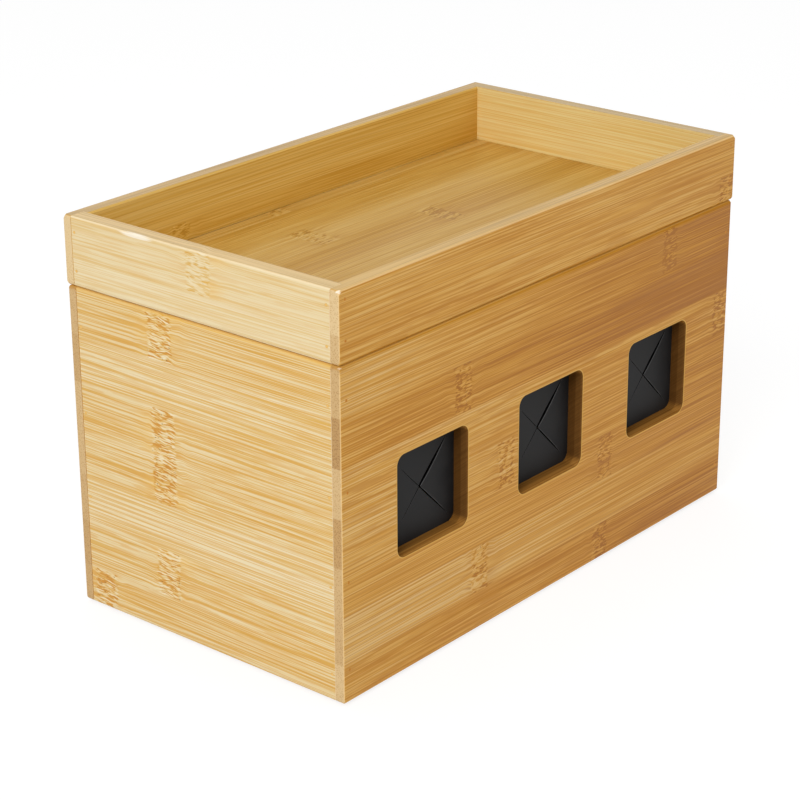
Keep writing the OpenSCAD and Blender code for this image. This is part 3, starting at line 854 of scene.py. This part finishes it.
def seal_rubbers():
    """Materials of a seal: its faces, the bevel along a cut, painted light as a highlight, and the sides of
    a cut, painted near black as shade.
    """
    kinds = {"seal_rubber": SEAL_FACE, "seal_bevel_highlight": SEAL_BEVEL_HIGHLIGHT, "seal_cut_shade": SEAL_CUT_SHADE}
    return [rubber(name, kind) for name, kind in kinds.items()]


def steel():
    """Zinc-plated steel with cloudy patches."""
    material, graph, shader = new_surface("zinc_plated_steel")
    patches = graph.noise(graph.place(), ZINC_PATCHES, 3.0, 0.6)
    graph.plug(shader.inputs["Metallic"], 1.0)
    graph.plug(shader.inputs["Base Color"], graph.colours(patches, ZINC_SHADES))
    graph.plug(shader.inputs["Roughness"], graph.scaled(patches, 0.3, 0.7, 0.26, 0.42))
    return material


def filler():
    """Putty over the brads, a little darker than the board that it is in, so paler in the short boards,
    whose bamboo is painted paler by the light from the left.
    """
    material, graph, shader = new_surface("wood_filler")
    specks = graph.noise(graph.place(), PUTTY_SPECKS, 2.0, 0.6)
    in_short_board = graph.math("GREATER_THAN", graph.size(graph.axes(graph.normal())["X"]), 0.7)
    colour = graph.mix(in_short_board, graph.colours(specks, AMBER_PUTTY), graph.colours(specks, PALE_PUTTY))
    graph.plug(shader.inputs["Base Color"], colour)
    graph.plug(shader.inputs["Roughness"], 0.55)
    graph.plug(shader.inputs["Specular IOR Level"], BOARD_GLOSS)
    return material


# ---- Studio ----

def make_camera():
    """Camera that sees the object as the photograph does."""
    data = bpy.data.cameras.new("camera")
    data.lens = CAMERA_LENS
    data.sensor_width = CAMERA_SENSOR
    data.clip_start = CAMERA_CLIP
    camera = bpy.data.objects.new("camera", data)
    turn = Matrix.Rotation(math.radians(-CAMERA_HEADING), 4, "Z")
    tilt = Matrix.Rotation(math.radians(90 - CAMERA_DROP), 4, "X")
    roll = Matrix.Rotation(math.radians(CAMERA_ROLL), 4, "Z")
    camera.matrix_world = Matrix.Translation(CAMERA_PLACE) @ turn @ tilt @ roll
    bpy.context.scene.collection.objects.link(camera)
    bpy.context.scene.camera = camera


def softbox(name, place, size, level):
    """Square lamp aimed at the object. At level 1 it lights a white face turned to it to full white."""
    place = Vector(place)
    reach = (place - AIM).length
    data = bpy.data.lights.new(name, "AREA")
    data.shape = "SQUARE"
    data.size = size
    data.energy = level * (math.pi * reach) ** 2
    lamp = bpy.data.objects.new(name, data)
    lamp.location = place
    lamp.rotation_euler = (AIM - place).to_track_quat("-Z", "Y").to_euler()
    bpy.context.scene.collection.objects.link(lamp)


def shown_white(graph):
    """1 for rays from the camera, and for reflected and refracted ones."""
    path = graph.node("ShaderNodeLightPath").outputs
    seen = graph.math("MAXIMUM", path["Is Camera Ray"], path["Is Glossy Ray"])
    return graph.math("MAXIMUM", seen, path["Is Transmission Ray"])


def make_world():
    """White surroundings that light the object only softly."""
    world = bpy.data.worlds.new("studio")
    world.use_nodes = True
    bpy.context.scene.world = world
    graph = Graph(world.node_tree)
    background = next(n for n in world.node_tree.nodes if n.type == "BACKGROUND")
    background.inputs["Color"].default_value = WHITE
    graph.plug(background.inputs["Strength"], graph.scaled(shown_white(graph), 0.0, 1.0, AMBIENT, 1.0))


def make_floor():
    """Pale floor that is white to the camera, save for the shadows on it."""
    corners = [(-FLOOR_HALF, -FLOOR_HALF, 0), (FLOOR_HALF, -FLOOR_HALF, 0),
               (FLOOR_HALF, FLOOR_HALF, 0), (-FLOOR_HALF, FLOOR_HALF, 0)]
    mesh = bpy.data.meshes.new("floor")
    mesh.from_pydata(corners, [], [(0, 1, 2, 3)])
    floor = bpy.data.objects.new("floor", mesh)
    bpy.context.scene.collection.objects.link(floor)
    material = bpy.data.materials.new("floor")
    material.use_nodes = True
    graph = Graph(material.node_tree)
    graph.tree.nodes.clear()
    diffuse = graph.node("ShaderNodeBsdfDiffuse", {"Color": FLOOR_COLOUR}).outputs[0]
    glow = graph.node("ShaderNodeEmission", {"Color": WHITE, "Strength": FLOOR_LEVEL}).outputs[0]
    share = graph.times(shown_white(graph), FLOOR_GLOW)
    mixed = graph.node("ShaderNodeMixShader", {0: share, 1: diffuse, 2: glow}).outputs[0]
    graph.node("ShaderNodeOutputMaterial", {"Surface": mixed})
    mesh.materials.append(material)


def make_studio():
    bpy.context.scene.view_settings.view_transform = "Standard"
    make_world()
    make_floor()
    for name, (place, size, level) in SOFTBOXES.items():
        softbox(name, place, size, level)


# ---- Seals ----

def outlet_frame(seal_node):
    """Matrix from an outlet's own frame: X right, Y up, Z outwards, origin on the inner face."""
    low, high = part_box(seal_node)
    centre = (low + high) / 2
    in_front = centre.y < 0
    inner_face = low.y if in_front else high.y
    turn = Matrix.Rotation(0.0 if in_front else math.pi, 4, "Z")
    upright = Matrix.Rotation(math.pi / 2, 4, "X")
    return Matrix.Translation((centre.x, inner_face, centre.z)) @ turn @ upright


def new_piece(name, mesh, place, materials):
    """Object from a bmesh that is drawn in an outlet's own frame."""
    bmesh.ops.recalc_face_normals(mesh, faces=mesh.faces)
    mesh.transform(place)
    data = bpy.data.meshes.new(name)
    mesh.to_mesh(data)
    mesh.free()
    for material in materials:
        data.materials.append(material)
    data.shade_smooth()
    data.set_sharp_from_angle(angle=math.radians(SHARP_ANGLE))
    piece = bpy.data.objects.new(name, data)
    bpy.context.scene.collection.objects.link(piece)
    return piece


def ring_layer(mesh, level):
    """Vertices of a seal's round corners, in order round it, and of its window's corners."""
    centre = SHEET_HALF - SHEET_CORNER
    arcs = []
    for i, (sx, sy) in enumerate(SHEET_CORNERS):
        arc = []
        for step in range(SHEET_STEPS + 1):
            angle = math.pi / 2 * (i + step / SHEET_STEPS)
            x = sx * centre + SHEET_CORNER * math.cos(angle)
            y = sy * centre + SHEET_CORNER * math.sin(angle)
            arc.append(mesh.verts.new((x, y, level)))
        arcs.append(arc)
    window = [mesh.verts.new((sx * FLAP_REACH, sy * FLAP_REACH, level)) for sx, sy in SHEET_CORNERS]
    return arcs, window


def ring_mesh():
    """Square rubber sheet with round corners and a square window."""
    mesh = bmesh.new()
    layers = [ring_layer(mesh, level) for level in (-SHEET_THICKNESS, 0.0)]
    half = SHEET_STEPS // 2
    for arcs, window in layers:
        for i in range(4):
            j = (i + 1) % 4
            mesh.faces.new(arcs[i][half:] + arcs[j][:half + 1] + [window[j], window[i]])
    outer = [sum(arcs, []) for arcs, _ in layers]
    inner = [window for _, window in layers]
    for under, over in (outer, inner):
        for i in range(len(under)):
            mesh.faces.new((under[i - 1], under[i], over[i], over[i - 1]))
    return mesh


def cut_edge(share, cut, chamfer):
    """Setback and bevel of a flap's edge along a cut, at a share of the way to its tip."""
    opening = min(max((share - cut.closed) / (1 - cut.closed), 0.0), 1.0)
    open_share = min(1.0, CUT_RISE * opening)
    setback = CUT_SHUT + (CUT_HALF - CUT_SHUT) * open_share + cut.widest * math.sin(OPENING_TURN * opening)
    return math.sqrt(2) * setback, math.sqrt(2) * chamfer * open_share


def flap_row(mesh, flap, share, level, inset):
    """Vertices across a flap, at a share of the way from its base to its tip."""
    reaches = []
    for cut in (flap.left_cut, flap.right_cut):
        setback, chamfer = cut_edge(share, cut, flap.chamfer) if share else (0.0, 0.0)
        reaches.append(FLAP_REACH * (1 - share) - setback - inset * chamfer)
    left, right = reaches
    row = []
    for j in range(FLAP_COLUMNS + 1):
        x = -left + (right + left) * j / FLAP_COLUMNS
        row.append(mesh.verts.new((x, FLAP_REACH * (share - 1), level - flap.push * share ** 2)))
    return row


def rim_faces(under, over):
    """Corners of the faces that join the rims of two layers of a flap."""
    faces = []
    for i in range(FLAP_ROWS - 1):
        for j in (0, FLAP_COLUMNS):
            faces.append((under[i][j], under[i + 1][j], over[i + 1][j], over[i][j]))
    for i in (0, FLAP_ROWS - 1):
        for j in range(FLAP_COLUMNS):
            faces.append((under[i][j], under[i][j + 1], over[i][j + 1], over[i][j]))
    return faces


def flap_mesh(flap):
    """Flap below the cross, from its base to its tip, before it is turned to its side."""
    mesh = bmesh.new()
    setbacks = [cut_edge(1, cut, flap.chamfer)[0] for cut in (flap.left_cut, flap.right_cut)]
    tip = 1 - sum(setbacks) / (2 * FLAP_REACH) - FLAP_BLUNT
    shares = [tip * i / (FLAP_ROWS - 1) for i in range(FLAP_ROWS)]
    layers = []
    for level, inset in ((-SHEET_THICKNESS, 0), (-flap.chamfer, 0), (0.0, 1)):
        layers.append([flap_row(mesh, flap, share, level, inset) for share in shares])
    for rows in (layers[0], layers[-1]):
        for low, high in zip(rows, rows[1:]):
            for j in range(FLAP_COLUMNS):
                mesh.faces.new((low[j], low[j + 1], high[j + 1], high[j]))
    # cut sides get the painted shade, bevels the painted highlight
    for part, under, over in zip((SHADED_SIDE, HIGHLIT_BEVEL), layers, layers[1:]):
        for corners in rim_faces(under, over):
            mesh.faces.new(corners).material_index = part
    return mesh


def make_seal(outlet, flaps, materials):
    """Ring and four flaps that look like one sheet with a cross slit."""
    place = outlet_frame(outlet + "_seal")
    ring = new_piece(outlet + "_ring", ring_mesh(), place, materials)
    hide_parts(outlet + "_seal")
    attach(ring, "box")
    for turn, side in enumerate(("lower", "right", "upper", "left")):
        to_frame = place @ Matrix.Rotation(math.pi / 2 * turn, 4, "Z")
        node = outlet + "_flap_" + side
        flap = new_piece(outlet + "_skin_" + side, flap_mesh(flaps[side]), to_frame, materials)
        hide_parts(node)
        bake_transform(flap)


def dress_hardware():
    """Seals, screws, feet and filled brads."""
    black = seal_rubbers()
    matt = rubber("foot_rubber", FOOT_RUBBER)
    metal = steel()
    putty = filler()
    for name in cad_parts:
        if "_seal_screws" in name or name == "batten_screws":
            dress(name, metal)
        elif name.startswith("foot_"):
            dress(name, matt)
        elif name.endswith("_brads"):
            dress(name, putty)
    for outlet in ("left", "middle", "right"):
        make_seal(outlet, USED_FLAPS, black)
    make_seal("rear", NEW_FLAPS, black)


make_camera()
make_studio()
dress_boards()
dress_hardware()
